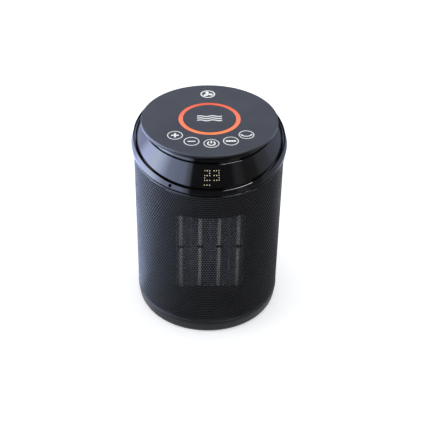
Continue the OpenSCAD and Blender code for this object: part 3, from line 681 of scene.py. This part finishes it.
def lit_ring(name):
    """Back-lit diffuser: orange in front, redder behind, and not quite evenly lit."""
    mat, tree, shader, coords = new_material(name)
    _, y, _ = axes(tree, coords)
    front_to_back = span(tree, y, 0.0, 1.0, -ring_r, ring_r)
    colour = tree.nodes.new("ShaderNodeValToRGB")
    stops = colour.color_ramp.elements
    stops[0].position, stops[0].color = 0.0, (1.0, 0.25, 0.072, 1)
    stops[1].position, stops[1].color = 1.0, (0.80, 0.105, 0.045, 1)
    middle = stops.new(0.5)
    middle.color = (0.95, 0.215, 0.13, 1)
    tree.links.new(front_to_back, colour.inputs["Fac"])
    tree.links.new(colour.outputs["Color"], shader.inputs["Emission Color"])
    soft = noise(tree, coords, 90, 2)
    tree.links.new(span(tree, soft, 0.92, 1.05), shader.inputs["Emission Strength"])
    tree.links.new(ramp(tree, soft, (0.10, 0.02, 0.01), (0.14, 0.03, 0.015)), shader.inputs["Base Color"])
    shader.inputs["Roughness"].default_value = 0.35
    return mat


def lit_dots(name):
    """The display's dots, warm white and not all equally bright."""
    mat, tree, shader, coords = new_material(name)
    warm = noise(tree, coords, 420, 1)
    tree.links.new(ramp(tree, warm, (1.0, 0.72, 0.42), (0.95, 0.90, 0.62)),
                   shader.inputs["Emission Color"])
    tree.links.new(span(tree, warm, 0.42, 0.66), shader.inputs["Emission Strength"])
    shader.inputs["Base Color"].default_value = (0.3, 0.28, 0.2, 1)
    shader.inputs["Roughness"].default_value = 0.4
    return mat


def circuit(name):
    """Solder mask with faint tracks under it."""
    mat, tree, shader, coords = new_material(name)
    tracks = tree.nodes.new("ShaderNodeTexBrick")
    tracks.inputs["Scale"].default_value = 260
    tree.links.new(coords, tracks.inputs["Vector"])
    tree.links.new(ramp(tree, tracks.outputs["Fac"], (0.01, 0.07, 0.03), (0.03, 0.14, 0.06)),
                   shader.inputs["Base Color"])
    grain = noise(tree, coords, 800, 3)
    tree.links.new(span(tree, grain, 0.3, 0.45), shader.inputs["Roughness"])
    tree.links.new(bump(tree, tracks.outputs["Fac"], 0.3, 0.00003), shader.inputs["Normal"])
    return mat


# One look per material slot of the record
MOULDED = {
    "base_ring": dict(color=(0.006, 0.0068, 0.0085), rough=0.42, specular=0.26),
    "dark_plastic": dict(color=(0.016, 0.0165, 0.018), rough=0.5),
    "inner_black": dict(color=(0.0018, 0.0018, 0.0020), rough=0.7, specular=0.03),
    "sleeve": dict(color=(0.0175, 0.0180, 0.0200), rough=0.38, grain=1800, grain_depth=0.00001,
                   specular=0.25, rough_spread=0.05),
    "print": dict(color=(0.90, 0.90, 0.90), rough=0.4, spread=0.03),
    "rubber": dict(color=(0.012, 0.012, 0.012), rough=0.75, grain=1500),
    "acetal": dict(color=(0.62, 0.60, 0.54), rough=0.38),
    "ceramic": dict(color=(0.20, 0.16, 0.13), rough=0.8, grain=900, grain_depth=0.00006),
    "relay_blue": dict(color=(0.03, 0.11, 0.36), rough=0.35),
    "winding_tape": dict(color=(0.60, 0.44, 0.08), rough=0.45),
    "component_black": dict(color=(0.015, 0.015, 0.017), rough=0.45),
    "terminal_green": dict(color=(0.04, 0.20, 0.08), rough=0.45),
    "fuse_white": dict(color=(0.66, 0.66, 0.64), rough=0.3),
    "plunger_red": dict(color=(0.40, 0.04, 0.025), rough=0.45),
    "wire": dict(color=(0.45, 0.035, 0.025), rough=0.5),
    "lead_white": dict(color=(0.60, 0.60, 0.59), rough=0.5),
    "led": dict(color=(0.75, 0.70, 0.55), rough=0.3),
}
ROLLED_METAL = {
    "screw_steel": dict(color=(0.55, 0.56, 0.58), rough=0.35, scale=(30, 30, 30)),
    "bearing_steel": dict(color=(0.70, 0.71, 0.73), rough=0.16, scale=(20, 20, 20)),
    "aluminium": dict(color=(0.62, 0.63, 0.65), rough=0.34),
    "fin_metal": dict(color=(0.78, 0.80, 0.86), rough=0.42),
    "brass": dict(color=(0.70, 0.50, 0.20), rough=0.3),
    "motor_steel": dict(color=(0.45, 0.46, 0.48), rough=0.4, scale=(40, 40, 6)),
}
SPECIAL = {
    "gloss_black": gloss_black,
    "slate_panel": slate_panel,
    "tube_metal": element_tubes,
    "element_frame": element_frame,
    "light_guide": lit_ring,
    "display_light": lit_dots,
    "circuit_board": circuit,
}
# CAD nodes whose look isn't that of their slot
NODE_LOOKS = {"ptc_tubes": "tube_metal", "ptc_frame": "element_frame", "ptc_fins": "fin_metal"}


def make_materials():
    made = {name: moulded(name, **look) for name, look in MOULDED.items()}
    made.update({name: rolled_metal(name, **look) for name, look in ROLLED_METAL.items()})
    made.update({name: make(name) for name, make in SPECIAL.items()})
    return made


def dress(obj, look):
    obj.data.materials.clear()
    obj.data.materials.append(materials[look])


def add_piece(obj, slot, body, replaced):
    """Gives a piece its material, the body that it rides on and the CAD node that it stands for."""
    dress(obj, slot)
    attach(obj, body)
    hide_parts(replaced)


# ---------- build ----------

materials = make_materials()
for part in frame["record"]["subparts"]:
    dress(nodes[part["node"]], NODE_LOOKS.get(part["node"], part["material_slot"]))

for panel in sleeve():
    add_piece(panel, "sleeve", "tower", "grille")

add_piece(intake_filter(), "inner_black", "tower", "grille")

rim = turned("rim", rim_section, even_azimuths(300))
sensor_z = crowned(rim_z, RIM_TILT, rim_top_r, SENSOR_AZIMUTH) - SENSOR_BELOW_TOP
sensor_place = Vector(around(rim_r, SENSOR_AZIMUTH, sensor_z))
sensor_out = Vector(around(1, SENSOR_AZIMUTH, 0.12)).normalized()
drill(rim, sensor_place, sensor_out, SENSOR_R, SENSOR_DEPTH)
add_piece(rim, "gloss_black", "tower", "rim_ring")
collar = turned("collar_shell", collar_section, even_azimuths(288))
add_piece(collar, "gloss_black", "tower", "collar")
disc = turned("panel_disc", panel_section, even_azimuths(288))
add_piece(disc, "slate_panel", "tower", "top_panel")
glow = turned("glow_ring", light_ring_section, even_azimuths(192))
add_piece(glow, "light_guide", "tower", "light_ring")

base = turned("base_ring", base_section, even_azimuths(288))
gland_z = (gland_lo.z + gland_hi.z) / 2
drill(base, Vector((0, body_r, gland_z)), (0, 1, 0), GLAND_HOLE_R, 20 * MM)
add_piece(base, "base_ring", "base", "base_shell")


# ---------- stage, lights and camera ----------

FLOOR_SIZE = 12.0
FLOOR_WHITE = (0.94, 0.94, 0.94)
FLOOR_GLOW = 0.30


def floor_paper(name):
    """Matt white paper that glows a little, so that it stays pale all the way to the edges."""
    mat, tree, shader, coords = new_material(name)
    soft = noise(tree, coords, 3, 2)
    tree.links.new(ramp(tree, soft, scaled(FLOOR_WHITE, 0.995), FLOOR_WHITE),
                   shader.inputs["Base Color"])
    shader.inputs["Roughness"].default_value = 0.9
    shader.inputs["Specular IOR Level"].default_value = 0.0
    shader.inputs["Emission Color"].default_value = (1, 1, 1, 1)
    shader.inputs["Emission Strength"].default_value = FLOOR_GLOW
    return mat


def make_floor():
    n = 9
    places = [FLOOR_SIZE * (i / (n - 1) - 0.5) for i in range(n)]
    verts = [(x, y, 0.0) for y in places for x in places]
    faces = [(j * n + i, j * n + i + 1, (j + 1) * n + i + 1, (j + 1) * n + i)
             for j in range(n - 1) for i in range(n - 1)]
    obj = mesh_object("floor", verts, faces, sharp=0)
    obj.data.materials.append(floor_paper("floor_paper"))


# The light cards: radii of the rings on the floor, and the wall's radius and heights
NEAR_FROM = 0.086
CARDS_FROM = 0.45
WALL_R = 1.6
WALL_MIDDLE = 1.8
WALL_TOP = 3.8

# What the gloss reflects: azimuth in degrees, then the card's colour against its strength
CARD_STRENGTH = 12.0
CARD_PROFILE = [
    (-180, (0.010, 0.011, 0.013)), (-165, (0.010, 0.011, 0.013)), (-152, (0.09, 0.10, 0.14)),
    (-137, (0.135, 0.15, 0.22)), (-118, (0.225, 0.245, 0.375)), (-106, (0.50, 0.56, 0.84)),
    (-95, (0.61, 0.68, 1.0)), (-82, (0.68, 0.79, 1.0)), (-73, (0.56, 0.65, 0.92)),
    (-66, (0.42, 0.48, 0.69)), (-60, (0.285, 0.32, 0.46)), (-43, (0.225, 0.258, 0.375)),
    (-35, (0.21, 0.24, 0.34)), (-32, (0.13, 0.15, 0.20)), (-28, (0.10, 0.115, 0.15)),
    (-25, (0.006, 0.006, 0.007)),
    (30, (0.007, 0.007, 0.008)), (36, (0.028, 0.028, 0.029)), (45, (0.024, 0.024, 0.025)),
    (49, (0.012, 0.012, 0.012)), (66, (0.016, 0.016, 0.017)), (72, (0.039, 0.040, 0.043)),
    (90, (0.048, 0.051, 0.061)), (97, (0.062, 0.068, 0.086)), (120, (0.050, 0.056, 0.075)),
    (160, (0.010, 0.011, 0.013)), (180, (0.010, 0.011, 0.013)),
]
# The same for the floor next to the heater, which the sleeve and the base reflect
NEAR_STRENGTH = 4.0
NEAR_PROFILE = [
    (-180, (0.60, 0.70, 1.0)), (-150, (0.60, 0.70, 1.0)), (-115, (0.57, 0.68, 1.0)),
    (-92, (0.64, 0.76, 1.06)), (-80, (0.30, 0.36, 0.48)), (-60, (0.24, 0.28, 0.36)),
    (-30, (0.09, 0.10, 0.12)), (0, (0.055, 0.058, 0.064)), (60, (0.065, 0.068, 0.074)),
    (110, (0.11, 0.115, 0.13)), (135, (0.34, 0.36, 0.39)), (180, (0.60, 0.70, 1.0)),
]
# High on the walls there is slate tone behind on both sides, which the rim's top edge reflects
UPPER_PROFILE = [
    (-180, (0.004, 0.004, 0.005)), (-173, (0.004, 0.004, 0.005)), (-160, (0.24, 0.26, 0.31)),
    (-138, (0.24, 0.26, 0.31)), (-128, (0.004, 0.004, 0.005)), (128, (0.004, 0.004, 0.005)),
    (138, (0.24, 0.27, 0.35)), (160, (0.24, 0.27, 0.35)), (173, (0.004, 0.004, 0.005)),
    (180, (0.004, 0.004, 0.005)),
]


def card_material(name, profile, strength):
    """A light whose colour goes round the studio by azimuth."""
    mat = bpy.data.materials.new(name)
    mat.use_nodes = True
    tree = mat.node_tree
    tree.nodes.clear()
    out = tree.nodes.new("ShaderNodeOutputMaterial")
    glow = tree.nodes.new("ShaderNodeEmission")
    glow.inputs["Strength"].default_value = strength
    coords = tree.nodes.new("ShaderNodeTexCoord")
    turn = tree.nodes.new("ShaderNodeMapping")
    turn.inputs["Rotation"].default_value = (0, 0, math.radians(90))
    sweep = tree.nodes.new("ShaderNodeTexGradient")
    sweep.gradient_type = "RADIAL"
    colours = tree.nodes.new("ShaderNodeValToRGB")
    stops = colours.color_ramp.elements
    while len(stops) > 1:
        stops.remove(stops[-1])
    stops[0].position = 0.0
    stops[0].color = (*profile[0][1], 1)
    for azimuth, colour in profile[1:]:
        stops.new(azimuth / 360 + 0.5).color = (*colour, 1)
    tree.links.new(coords.outputs["Object"], turn.inputs["Vector"])
    tree.links.new(turn.outputs["Vector"], sweep.inputs["Vector"])
    tree.links.new(sweep.outputs["Fac"], colours.inputs["Fac"])
    tree.links.new(colours.outputs["Color"], glow.inputs["Color"])
    tree.links.new(glow.outputs["Emission"], out.inputs["Surface"])
    return mat


def reflection_cards(name, outline, mat):
    """A ring of light cards round the axis, which only reflections see.

    outline is the (radius, height) points that go round.
    """
    n = 96
    k = len(outline)
    verts = [around(r, a, z) for a in even_azimuths(n) for r, z in outline]
    faces = []
    for i in range(n):
        j = (i + 1) % n
        faces += [(k * i + m, k * j + m, k * j + m + 1, k * i + m + 1) for m in range(k - 1)]
    obj = mesh_object(name, verts, faces, sharp=20)
    obj.data.materials.append(mat)
    obj.visible_camera = False
    obj.visible_diffuse = False
    obj.visible_shadow = False
    obj.visible_transmission = False


SOFTBOX_DISTANCE = 1.5
SOFTBOX_TARGET = Vector((0, 0, 0.2))


def softbox(name, azimuth, elevation, width, tall, radiance, color, diffuse=True, glossy=True):
    """A rectangular light of a given brightness that faces the heater's upper part."""
    data = bpy.data.lights.new(name, "AREA")
    data.shape = "RECTANGLE"
    data.size = width
    data.size_y = tall
    data.energy = radiance * math.pi * width * tall
    data.color = color
    obj = bpy.data.objects.new(name, data)
    rise = math.radians(elevation)
    place = Vector(around(SOFTBOX_DISTANCE * math.cos(rise), math.radians(azimuth),
                          SOFTBOX_DISTANCE * math.sin(rise)))
    obj.location = place
    obj.rotation_euler = (SOFTBOX_TARGET - place).to_track_quat("-Z", "Y").to_euler()
    obj.visible_camera = False
    obj.visible_diffuse = diffuse
    obj.visible_glossy = glossy
    bpy.context.scene.collection.objects.link(obj)


def make_world():
    """Even white light on the matt surfaces. The gloss doesn't reflect it."""
    world = bpy.data.worlds.new("studio")
    bpy.context.scene.world = world
    world.use_nodes = True
    background = world.node_tree.nodes["Background"]
    background.inputs["Color"].default_value = (0.97, 0.98, 1.0, 1)
    background.inputs["Strength"].default_value = 1.0
    world.cycles_visibility.glossy = False


# The camera's angles in degrees. It stands in front, then goes round the heater by the yaw
CAMERA_YAW = -3.1
CAMERA_PITCH = 53.55
CAMERA_ROLL = 1.17
CAMERA_PLACE = Vector((0.00772, -0.86582, 0.74410))
CAMERA_LENS = 80.34


def make_camera():
    data = bpy.data.cameras.new("camera")
    data.lens = CAMERA_LENS
    data.sensor_width = 36
    data.clip_end = 50
    cam = bpy.data.objects.new("camera", data)
    yaw = Matrix.Rotation(math.radians(CAMERA_YAW), 4, "Z")
    pitch = Matrix.Rotation(math.radians(CAMERA_PITCH), 4, "X")
    roll = Matrix.Rotation(math.radians(CAMERA_ROLL), 4, "Z")
    place = Matrix.Translation(yaw @ CAMERA_PLACE)
    cam.matrix_world = place @ yaw @ pitch @ roll
    bpy.context.scene.collection.objects.link(cam)
    bpy.context.scene.camera = cam


make_world()
make_floor()
reflection_cards("studio_cards", [(CARDS_FROM, 0.004), (WALL_R, 0.004), (WALL_R, WALL_MIDDLE)],
                 card_material("light_cards", CARD_PROFILE, CARD_STRENGTH))
reflection_cards("upper_cards", [(WALL_R, WALL_MIDDLE), (WALL_R, WALL_TOP)],
                 card_material("upper_cards", UPPER_PROFILE, CARD_STRENGTH))
reflection_cards("near_cards", [(NEAR_FROM, 0.003), (CARDS_FROM, 0.003)],
                 card_material("near_cards", NEAR_PROFILE, NEAR_STRENGTH))
softbox("left_softbox", azimuth=-80, elevation=35, width=0.8, tall=0.8, radiance=1.3,
        color=(0.90, 0.95, 1.0), glossy=False)
softbox("front_strip", azimuth=38, elevation=50, width=0.66, tall=0.35, radiance=16.0,
        color=(0.95, 0.97, 1.0), diffuse=False)
make_camera()

view = bpy.context.scene.view_settings
view.view_transform = "Standard"
view.look = "None"
